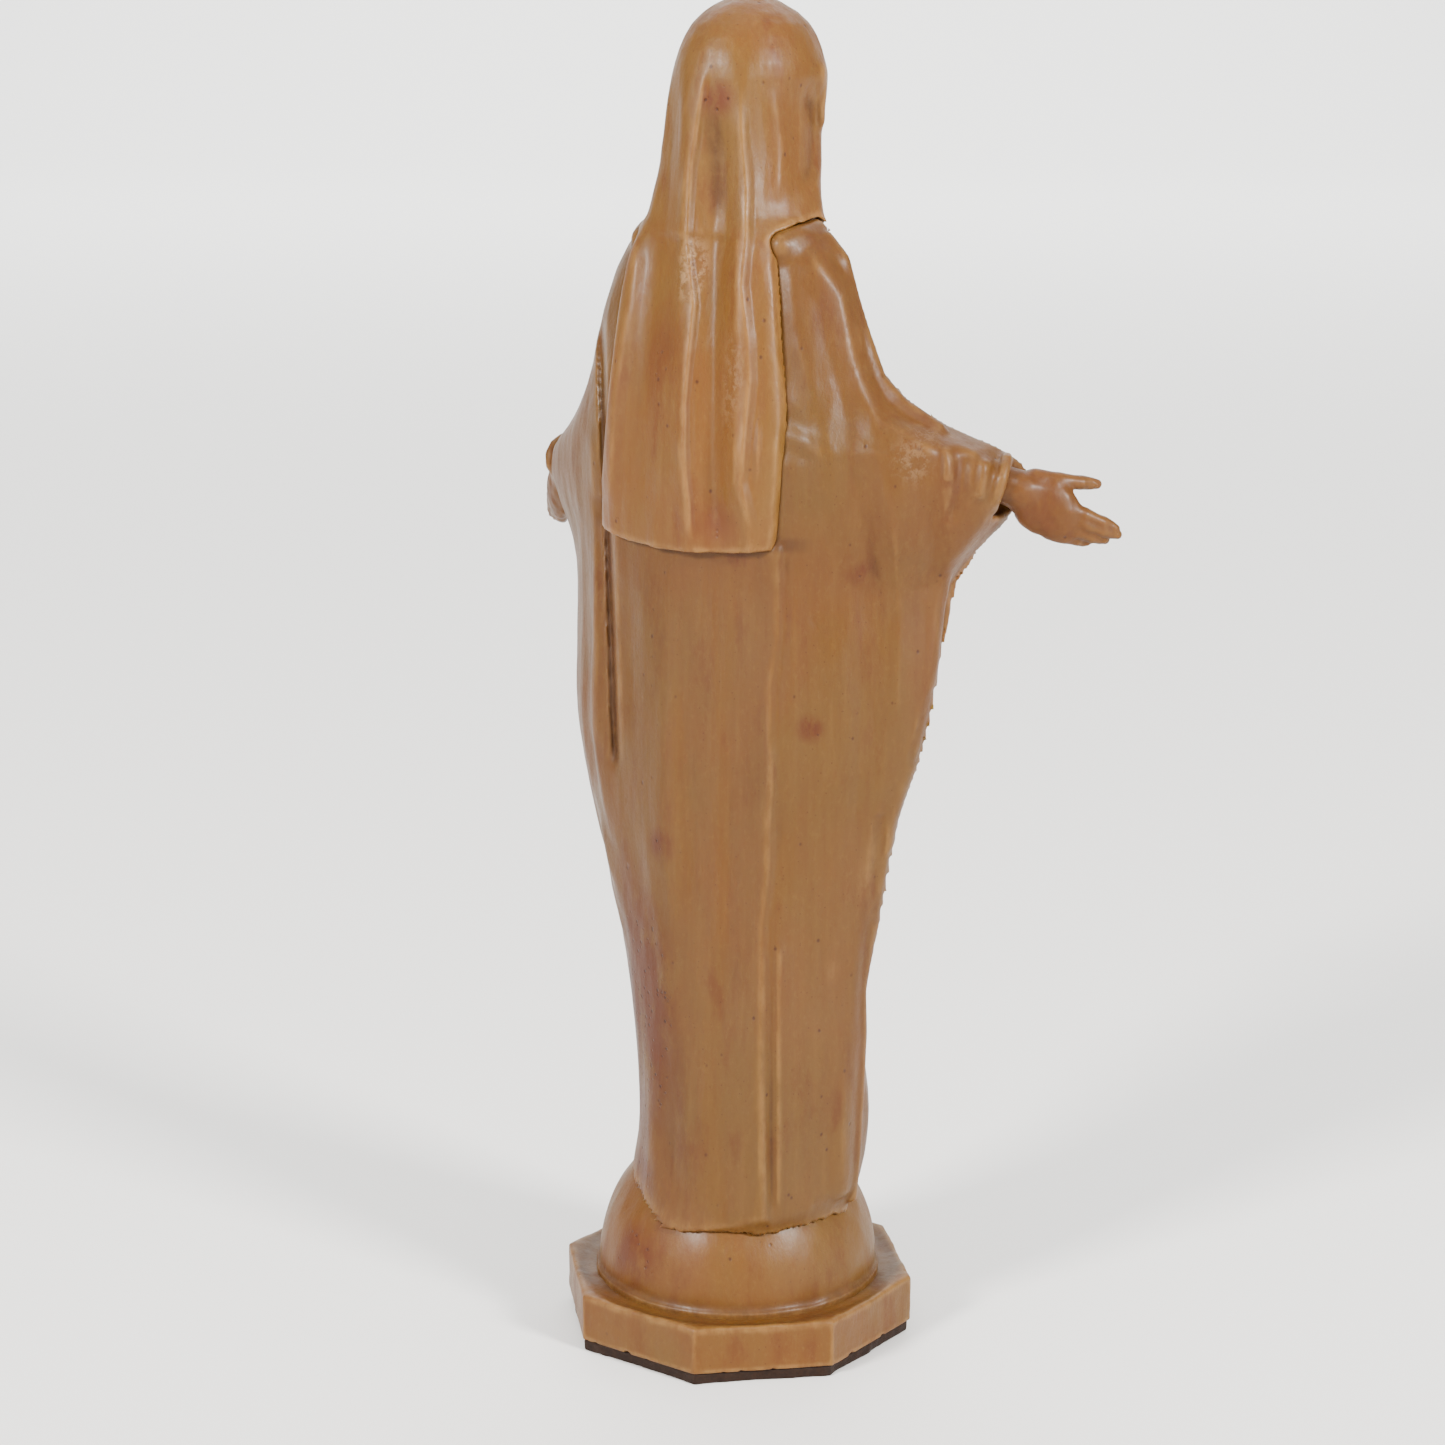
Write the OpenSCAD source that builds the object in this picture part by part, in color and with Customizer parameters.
// Devotional statue of a veiled standing woman, arms lowered and open,
// on a half globe and an octagonal plinth with a leatherboard pad.
// Millimetres. +Z up, the figure faces -Y, her right hand is at -X.
// Origin: centre of the pad's underside.

/* [Pedestal] */
// Plinth width across flats
plinth_w = 42.8; // [40:0.2:48]
// Width of each corner flat, measured along X
plinth_cut = 12.5; // [10:0.5:14]
// Height of the plinth's slab
plinth_h = 6.2; // [5:0.1:8]
// Radius of the half globe
globe_r = 18; // [17.8:0.1:18.2]
// Thickness of the leatherboard pad
pad_t = 1.5; // [1:0.1:2]
// How far the pad sits in from the plinth's edge
pad_inset = 0.4; // [0.2:0.1:1]

/* [Drapery] */
// Depth of the carved folds, 1 is as drawn
fold = 1; // [0:0.1:1.2]
// Thickness of the veil where it lies on the back
veil_t = 1.8; // [1.4:0.1:2.2]

/* [Fixings] */
// Diameter of the tie bolt
bolt_d = 4; // [3:0.5:4]
// Diameter of the dowel that carries the head
neck_d = 4; // [3:0.5:5]
// Diameter of the wire pins in the wrists
wire_d = 1.2; // [1:0.1:1.5]
// Gap left for adhesive between cast pieces
glue = 0.08; // [0.05:0.01:0.1]

/* [Quality] */
// Points across the mantle's back
body_n = 22; // [16:2:28]
// Points across the gown
gown_n = 14; // [10:2:20]
// Points across the inside of each mantle front
side_n = 5; // [4:1:7]
// Spacing of the body's rings
ring_step = 3; // [2.5:0.5:4]

/* [Hidden] */
$fn = 64;

resin = [0.66, 0.47, 0.30];
steel = [0.62, 0.63, 0.65];
brass = [0.72, 0.58, 0.30];
beech = [0.78, 0.64, 0.44];
board = [0.16, 0.10, 0.08];

plinth_top = pad_t + plinth_h;
globe_z = 9;            // centre of the globe
neck_z = 142;           // joint plane between body and head
hem_z = 17;             // lowest point of the mantle's hem

// ---- smooth table lookup: rows are [z, a, b, c, ...] ----
function row_of(t, tab, i = 0) =
    i >= len(tab) - 2 || t <= tab[i + 1][0] ? i : row_of(t, tab, i + 1);
function slope(tab, i, c) =
    let (a = max(i - 1, 0), b = min(i + 1, len(tab) - 1))
    (tab[b][c] - tab[a][c]) / (tab[b][0] - tab[a][0]);
function at(t, tab, c) =
    let (i = row_of(t, tab), p = tab[i], q = tab[i + 1], h = q[0] - p[0],
         s = min(max((t - p[0]) / h, 0), 1),
         m = slope(tab, i, c) * h, n = slope(tab, i + 1, c) * h,
         s2 = s * s, s3 = s2 * s)
    (2*s3 - 3*s2 + 1) * p[c] + (s3 - 2*s2 + s) * m + (3*s2 - 2*s3) * q[c] + (s3 - s2) * n;
function bump(x, c, w) = let (d = (x - c) / w) exp(-d * d);
function tent(x, c, w) = max(0, 1 - abs(x - c) / w);
function ramp(x, a, b) = let (s = min(max((x - a) / (b - a), 0), 1)) s * s * (3 - 2 * s);

// ---- robed body: [z, centre x, half width, tip y, back y, back power, back exponent, tip thickness] ----
mantle = [
    [ 17, -2.1, 15.2, -1.0, 16.6, 2.0, 0.50, 0.5],
    [ 22, -2.6, 14.8, -1.2, 15.6, 2.0, 0.50, 0.5],
    [ 30, -2.8, 15.2, -1.2, 15.0, 2.0, 0.50, 0.5],
    [ 40, -2.6, 16.0, -1.2, 14.6, 2.0, 0.50, 0.5],
    [ 48, -1.8, 16.6, -1.3, 14.2, 2.0, 0.52, 0.8],
    [ 53, -1.2, 17.8, -1.5, 14.0, 2.0, 0.58, 1.6],
    [ 60,  0.0, 20.4, -1.8, 13.8, 1.9, 0.66, 2.2],
    [ 70,  1.3, 23.4, -1.8, 13.6, 1.8, 0.74, 2.6],
    [ 80,  1.3, 26.4, -2.4, 13.4, 1.8, 0.80, 2.8],
    [ 90,  0.9, 27.5, -3.2, 13.2, 1.8, 0.86, 3.0],
    [100,  1.1, 28.1, -4.0, 13.0, 1.8, 0.90, 4.2],
    [105,  0.3, 30.6, -4.4, 13.0, 1.7, 0.90, 5.8],
    [108,  0.0, 32.6, -4.8, 13.0, 1.7, 0.90, 6.8],
    [112, -0.2, 34.3, -4.9, 13.0, 1.7, 0.90, 7.2],
    [115, -0.2, 33.8, -4.7, 13.0, 1.7, 0.88, 6.6],
    [117, -0.3, 31.6, -4.0, 12.8, 1.8, 0.82, 5.6],
    [120,  0.4, 25.9, -2.4, 12.6, 1.9, 0.70, 4.0],
    [125,  0.7, 21.4, -1.0, 12.2, 2.0, 0.60, 2.0],
    [130,  0.7, 19.5, -0.2, 11.6, 2.0, 0.54, 1.0],
    [135,  0.5, 17.5,  0.0, 10.6, 2.0, 0.50, 0.6],
    [139,  0.2, 16.0,  0.0,  9.6, 2.0, 0.50, 0.5],
    [142,  0.1, 13.2,  0.0,  8.8, 2.0, 0.50, 0.5]];
// gown under the open mantle: [z, half width, front y, side y]
gown = [
    [ 17, 13.6, -13.0, -5], [ 26, 13.6, -12.8, -5], [ 38, 14.0, -12.6, -1],
    [ 50, 14.2, -12.6, -1], [ 70, 13.4, -12.2, -1], [ 90, 12.2, -11.0, 0],
    [104, 10.8,  -9.6, 0], [111, 10.2,  -9.0, 0], [118, 11.2, -10.2, 0],
    [125, 12.0, -11.4, -0.5], [132, 11.6, -10.0, -1.5], [138, 10.0,  -7.6, -2.2], [142, 8.0, -6.4, -2.2]];

// vertical ridges and grooves on the back: [x at hem, x at top, width, height, z from, z to]
back_folds = [
    [-12.6, -13.0, 2.2,  0.8,  17, 108], [ -8.0, -8.6, 3.0, -0.4,  17, 104],
    [ 0.4,   3.0, 2.8,  0.5,  30, 100], [  5.5,  8.5, 2.6, -0.4,  17, 104],
    [ 10.5, 17.5, 2.0,  0.8,  17, 104], [ -15.5, -21.5, 2.0, -0.3, 56, 106],
    [ 12.0, 21.0, 2.0, -0.8,  60, 106]];
front_folds = [
    [-8.5, -5.5, 1.8,  0.8, 20, 108], [ -5.5, -3.2, 1.6, -0.7, 20, 108],
    [-2.6, -1.2, 1.7,  0.9, 20, 108], [  0.6,  0.8, 1.6, -0.7, 20, 108],
    [ 3.6,  2.4, 1.7,  0.8, 20, 108], [  6.4,  4.2, 1.6, -0.7, 20, 108],
    [ 9.2,  6.4, 1.8,  0.9, 20, 108]];
function folds(x, z, tab) =
    fold * [for (f = tab) let (c = f[0] + (f[1] - f[0]) * (z - 17) / 90)
        f[3] * tent(x, c, f[2]) * ramp(z, f[4] - 4, f[4] + 4) * (1 - ramp(z, f[5] - 8, f[5]))]
    * [for (f = tab) 1];

// back and front of the body as depths over x
function body_back(x, z) =
    let (W = at(z, mantle, 2), t = min(abs(x - at(z, mantle, 1)) / W, 1), yt = at(z, mantle, 3))
    yt + (at(z, mantle, 4) - yt) * pow(max(1 - pow(t, at(z, mantle, 5)), 0), at(z, mantle, 6))
    + folds(x, z, back_folds) * (1 - ramp(t, 0.8, 1));
// the mantle is relieved a little where the veil lies on it
function veil_left(z) = at(z, veil, 2);
function veil_right(z) = at(z, veil, 1);
function relief(x, z) = 0.7 * ramp(z, 105.2, 105.8)
    * ramp(x, veil_right(z) - 0.6, veil_right(z)) * (1 - ramp(x, veil_left(z), veil_left(z) + 0.6));
// the forearm inside the sleeve
function arm_y(x, z) =
    let (a = abs(x), zc = 112.8 + (33.6 - a) * 0.26, q = 17.6 - (z - zc) * (z - zc))
    a < 17 || q <= 0 ? 99 : -8.4 + (33.6 - a) * 0.62 - sqrt(q);
// inside of the mantle; the pocket beside the gown closes towards the hem and the shoulders
function inner_y(x, z) =
    let (W = at(z, mantle, 2), c = at(z, mantle, 1), t = min(abs(x - c) / W, 1), k = ramp(z, 36, 54) * (1 - ramp(z, 126, 137)),
         g = gown_c(z), s = sign(x - c), gap = W - gown_x(z) - s * (g - c), u = min(max((W - s * (x - c)) / gap, 0), 1),
         yt = at(z, mantle, 3) - 0.5)
    min(arm_y(x, z),
        k * (body_back(x, z) - at(z, mantle, 7) - 0.32 * W * (1 - t) * ramp(t, 1.0, 0.8))
        + (1 - k) * (yt + (at(z, gown, 3) - yt) * u));
function robe_y(x, z) =
    let (g = min(abs(x - gown_c(z)) / at(z, gown, 1), 1), gs = at(z, gown, 3))
    gs + (at(z, gown, 2) - gs) * sqrt(max(1 - g * g, 0))
    - (folds(x, z, front_folds) + 0.9 * tent(z, 111, 2.2)) * (1 - ramp(g, 0.8, 1));
function gown_x(z) = min(at(z, gown, 1), at(z, mantle, 2) - 1);
function gown_c(z) = at(z, mantle, 1) * (1 - 0.4 * ramp(z, 46, 60));
// the hem hangs lowest at the back, rises towards the front and nowhere enters the globe
seat_r = globe_r + 0.25;
function on_globe(x, y) = globe_z + sqrt(max(seat_r * seat_r - x * x - y * y, 0));
function hem_at(x, y) = max(on_globe(x, y),
    hem_z + 2.6 * ramp(-x, 0, 13) + 3.6 * ramp(-y, -13, 4) + 2.2 * ramp(x, 5, 14) * ramp(-y, -13, 4));
function dropped(x, y, z) = z >= 50 ? z - left_drop * ramp(x, 14, 33) * bump(z, 112, 22) : 50 - (50 - z) * (50 - hem_at(x, y)) / (50 - hem_z);
// the underside follows the globe
function seat_ring(s) = [for (p = body_ring(hem_z)) [p[0] * s, p[1] * s, on_globe(p[0] * s, p[1] * s)]];

function body_ring(z) =
    let (n = body_n, m = side_n, W = at(z, mantle, 2), c = at(z, mantle, 1), gx = gown_x(z), gc = gown_c(z))
    concat(
        // back of the mantle, from her right to her left
        [for (i = [0:n]) let (x = c - W * cos(180 * i / n), y = body_back(x, z) - relief(x, z)) [x, y, dropped(x, y, z)]],
        // inside of the mantle on her left, the gown, then the inside on her right
        [for (i = [0:m]) let (x = c + W + (gc + gx + 0.25 - c - W) * i / m, y = inner_y(x, z)) [x, y, dropped(x, y, z)]],
        [for (i = [0:gown_n]) let (x = gc + gx * cos(180 * i / gown_n), y = robe_y(x, z)) [x, y, dropped(x, y, z)]],
        [for (i = [m:-1:0]) let (x = c - W + (gc - gx - 0.25 - c + W) * i / m, y = inner_y(x, z)) [x, y, dropped(x, y, z)]]);

// closed skin through rings of equal length, fanned shut at the top, and at the bottom too unless
// low is left out: then a thin ring is closed from one side straight to the other
module skin(rings, high, low) {
    m = len(rings[0]);
    k = len(rings);
    pts = concat([for (r = rings) for (p = r) p], [high], is_undef(low) ? [] : [low]);
    faces = concat(
        [for (j = [0:k - 2]) for (i = [0:m - 1]) let (a = j * m + i, b = j * m + (i + 1) % m)
            each [[a, b, b + m], [a, b + m, a + m]]],
        is_undef(low) ? [for (i = [0:m / 2 - 2]) each [[i + 1, i, m - 1 - i], [i + 1, m - 1 - i, m - 2 - i]]]
            : [for (i = [0:m - 1]) [(i + 1) % m, i, m * k + 1]],
        [for (i = [0:m - 1]) [(k - 1) * m + i, (k - 1) * m + (i + 1) % m, m * k]]);
    polyhedron(pts, faces, convexity = 8);
}

body_zs = concat([hem_z, 19.5, 22, 25], [for (z = [28:ring_step:104]) z],
                 [105, 106.4, 107.6, 109, 111, 112.6, 114, 115.4, 117, 118.6, 120.4, 122.5, 125.5, 129, 133, 137, 140, neck_z]);

// ---- hands: wrist centre, turn towards the front and dip of the fingers; the left arm hangs a little lower ----
wrist = [-33.4, -8.4, 112.6];
hand_yaw = 32;
hand_dip = [16, 28];
left_drop = 3.2;
module at_wrist(side) mirror([side, 0, 0]) translate(wrist - [0, 0, side * left_drop * 0.98])
    rotate([0, 0, hand_yaw]) rotate([0, -hand_dip[side], 0]) children();

// ---- veil and head: the veil's right and left edge over the back ----
veil = [
    [105, -12.4, 13.6], [111, -13.2, 13.0], [119, -13.6, 11.6], [127, -12.7, 10.6],
    [136, -11.4, 10.2], [141, -10.2, 9.8], [142, -10.0, 9.7]];
// [z, centre x, half width, back y, front y, side y]
head = [
    [142.0,  0.1, 13.1, 10.9,  -7.2, 0.0], [144.0,  0.0, 11.5, 10.4,  -7.0, -0.5],
    [147.0,  0.0, 10.6,  9.9,  -7.6, -1.0], [149.5, -0.1,  9.8,  9.7,  -9.6, -1.2],
    [153.0, -0.2,  9.2,  9.5, -10.6, -1.2], [157.0, -0.4,  8.9,  9.4, -11.0, -1.2],
    [161.0, -0.9,  8.9,  9.0, -11.0, -1.2], [164.0, -0.9,  8.1,  8.0, -10.4, -1.2],
    [167.0, -0.8,  6.4,  6.0,  -8.6, -1.2], [169.0, -0.7,  3.6,  3.2,  -5.6, -1.2],
    [169.8, -0.8,  2.2,  1.0,  -3.4, -1.2]];
veil_folds = [[0.2, -3.4, 1.6, 0.6], [-3.0, -6.8, 2.2, -0.5], [-6.9, -11.0, 1.6, 0.6], [4.0, 4.6, 2.2, -0.4], [7.4, 10.2, 1.8, 0.5]];
function veil_relief(x, z) =
    fold * [for (f = veil_folds) f[3] * tent(x, f[0] + (f[1] - f[0]) * (150 - z) / 45, f[2])] * [for (f = veil_folds) 1]
    * (1 - ramp(z, 155, 165));
head_n = 24;
function veil_ring(z) =
    let (n = head_n, a = veil_right(z), b = veil_left(z), c = (a + b) / 2, w = (b - a) / 2)
    concat(
        [for (i = [0:n]) let (x = c - w * cos(180 * i / n), e = ramp(abs(x - c) / w, 1, 0.9))
            [x, body_back(x, z) + glue + (veil_t - 0.7) + e * (0.5 + veil_relief(x, z)), z + 0.9 * (1 - pow((x + 1) / 13, 2)) * -1 * (1 - ramp(z, 105, 110))]],
        [for (i = [n:-1:0]) let (x = c - w * cos(180 * i / n))
            [x, body_back(x, z) - 0.7 + glue, z + 0.9 * (1 - pow((x + 1) / 13, 2)) * -1 * (1 - ramp(z, 105, 110))]]);
function face(x, z) =
    -1.5 * bump(x, 0, 1.2) * ramp(z, 160, 154.5) * ramp(z, 152.6, 153.6)
    - 0.5 * bump(x, 0, 2.0) * bump(z, 151, 1.1)
    - 0.8 * bump(x, 0, 2.6) * bump(z, 148.2, 1.5)
    + 0.9 * (bump(x, -2.8, 1.6) + bump(x, 2.8, 1.6)) * bump(z, 157.2, 1.5);
function head_ring(z) =
    let (n = head_n, c = at(z, head, 1), w = at(z, head, 2), yb = at(z, head, 3), yf = at(z, head, 4), ys = at(z, head, 5))
    concat(
        [for (i = [0:n]) let (x = c - w * cos(180 * i / n), t = min(abs(x - c) / w, 1))
            [x, ys + (yb - ys) * sqrt(max(1 - t * t, 0)) + veil_relief(x, z) * (1 - ramp(t, 0.8, 1)), z]],
        [for (i = [n:-1:0]) let (x = c - w * cos(180 * i / n), t = min(abs(x - c) / w, 1), inface = ramp(z, 146, 149) * (1 - ramp(z, 161, 165)))
            [x, ys + (yf - ys) * sqrt(max(1 - t * t, 0)) - 0.02
                + inface * (1.3 * ramp(t, 0.86, 0.6) + face(x, z)), z]]);
veil_zs = [105.2, 106.2, 108, 111, 114, 117, 120, 123, 126, 129, 132, 135, 138, 140, 141.6];
head_zs = [142.1, 144, 146, 147.4, 148.6, 150, 151.2, 152.4, 153.4, 154.4, 155.6, 157, 158.6, 160.4, 162, 163.6, 165.2, 166.6, 167.8, 168.8, 169.6];

// ---- modules, one for each piece ----
module robed_body() color(resin) difference() {
    skin(concat([for (s = [0.25, 0.48, 0.7, 0.86, 0.94]) seat_ring(s)], [for (z = body_zs) body_ring(z)]),
         [0.3, 0.7, neck_z - 0.8], [0, 0, globe_z + seat_r]);
    // seat of the threaded insert, opening into the globe's seat
    translate([0, 0, 20]) cylinder(d = 6.2, h = 22);
    translate([0, 0, neck_z - 10]) cylinder(d = neck_d + 0.1, h = 12);
    for (s = [0, 1]) at_wrist(s) {
        translate([-4, 0, 0]) rotate([0, 90, 0]) cylinder(r = 2.5, h = 9);
        rotate([0, 90, 0]) cylinder(d = wire_d + 0.1, h = 14);
    }
}

module veiled_head() color(resin) difference() {
    skin(concat([for (z = veil_zs) veil_ring(z)], [for (z = head_zs) head_ring(z)]), [-0.8, -1.4, 170]);
    translate([0, 0, 141]) cylinder(d = neck_d + 0.1, h = 11);
}

// a finger: knuckle, middle and tip, as one rounded bar
module finger(p, len, r, dip, curl) hull() {
    translate(p) sphere(r = r, $fn = 16);
    translate(p + [-len * cos(dip), -curl, -len * sin(dip)]) sphere(r = r * 0.78, $fn = 16);
}
module hand(side) at_wrist(side) difference() {
    union() {
        // tenon in the sleeve
        rotate([0, 90, 0]) cylinder(r = 2.5 - glue, h = 4.9);
        // wrist and palm
        hull() {
            rotate([0, 90, 0]) cylinder(r = 2.5 - glue, h = 0.2, $fn = 32);
            translate([-2.6, 0, 0.2]) scale([1, 0.7, 1.05]) sphere(r = 2.7, $fn = 24);
        }
        hull() {
            translate([-2.6, 0, 0.4]) scale([1, 0.62, 1.0]) sphere(r = 2.9, $fn = 24);
            translate([-7.0, -0.3, -1.6]) scale([0.6, 0.42, 1.1]) sphere(r = 3.1, $fn = 24);
        }
        finger([-7.4, -0.3, -0.3], 7.2, 0.95,  9, 1.2);
        finger([-7.6, -0.3, -1.6], 7.4, 0.98,  4, 1.4);
        finger([-7.3, -0.3, -2.9], 6.4, 0.92,  2, 1.4);
        finger([-6.9, -0.3, -4.0], 4.6, 0.82,  0, 1.2);
        finger([-3.4, -0.4,  2.0], 7.4, 0.95, -8, 1.8);
    }
    translate([-4, 0, 0]) rotate([0, 90, 0]) cylinder(d = wire_d + 0.1, h = 12, $fn = 32);
}
module right_hand() color(resin) hand(0);
module left_hand() color(resin) hand(1);
module wrist_pin(side) at_wrist(side) translate([-3.8, 0, 0]) rotate([0, 90, 0]) cylinder(d = wire_d, h = 17.6);
module right_wrist_pin() color(steel) wrist_pin(0);
module left_wrist_pin() color(steel) wrist_pin(1);

module octagon(inset = 0) {
    a = plinth_w / 2 - inset;
    c = plinth_cut - inset * 0.586;
    polygon([[a, -(a - c)], [a, a - c], [a - c, a], [-(a - c), a], [-a, a - c], [-a, -(a - c)], [-(a - c), -a], [a - c, -a]]);
}
module globe() color(resin) difference() {
    union() {
        intersection() {
            translate([0, 0, globe_z]) sphere(r = globe_r, $fn = 96);
            translate([-30, -30, plinth_top]) cube([60, 60, 40]);
        }
        // spigot in the plinth's seat
        translate([0, 0, plinth_top - 1.2]) cylinder(r = 14, h = 2);
    }
    translate([0, 0, 0]) cylinder(d = bolt_d + 0.4, h = 40);
}
module plinth() color(resin) difference() {
    translate([0, 0, pad_t]) linear_extrude(plinth_h) octagon();
    translate([0, 0, plinth_top - 1.2 - glue]) cylinder(r = 14 + glue, h = 4);
    translate([0, 0, 0]) cylinder(d = bolt_d + 0.4, h = 20);
    // counterbore for the bolt's head and washer
    translate([0, 0, 0]) cylinder(d = 11, h = pad_t + 3.4);
}
module base_pad() color(board) linear_extrude(pad_t) octagon(pad_inset);

bolt_low = pad_t + 0.3;
module tie_bolt() color(steel) difference() {
    union() {
        translate([0, 0, bolt_low]) cylinder(d = 7.8, h = 2.2);
        translate([0, 0, bolt_low]) cylinder(d = bolt_d, h = 36);
    }
    // slot for a screwdriver
    translate([-5, -0.5, bolt_low - 1]) cube([10, 1, 2]);
}
module bolt_washer() color(steel) translate([0, 0, bolt_low + 2.25]) difference() {
    cylinder(d = 10, h = 0.8);
    translate([0, 0, -1]) cylinder(d = bolt_d + 0.3, h = 3);
}
module threaded_insert() color(brass) translate([0, 0, 28]) difference() {
    cylinder(d = 6.1, h = 12);
    translate([0, 0, -1]) cylinder(d = bolt_d + 0.06, h = 14);
    // driver slot across the open end
    translate([-4, -0.5, -1]) cube([8, 1, 2]);
}
module neck_dowel() color(beech) translate([0, 0, neck_z - 9.8]) difference() {
    cylinder(d = neck_d, h = 19.6);
    // glue flutes
    for (a = [0:60:300]) rotate([0, 0, a]) translate([neck_d / 2 + 0.1, 0, -1]) cylinder(r = 0.35, h = 24, $fn = 16);
}

robed_body();
veiled_head();
right_hand();
left_hand();
globe();
plinth();
base_pad();
tie_bolt();
bolt_washer();
threaded_insert();
neck_dowel();
right_wrist_pin();
left_wrist_pin();
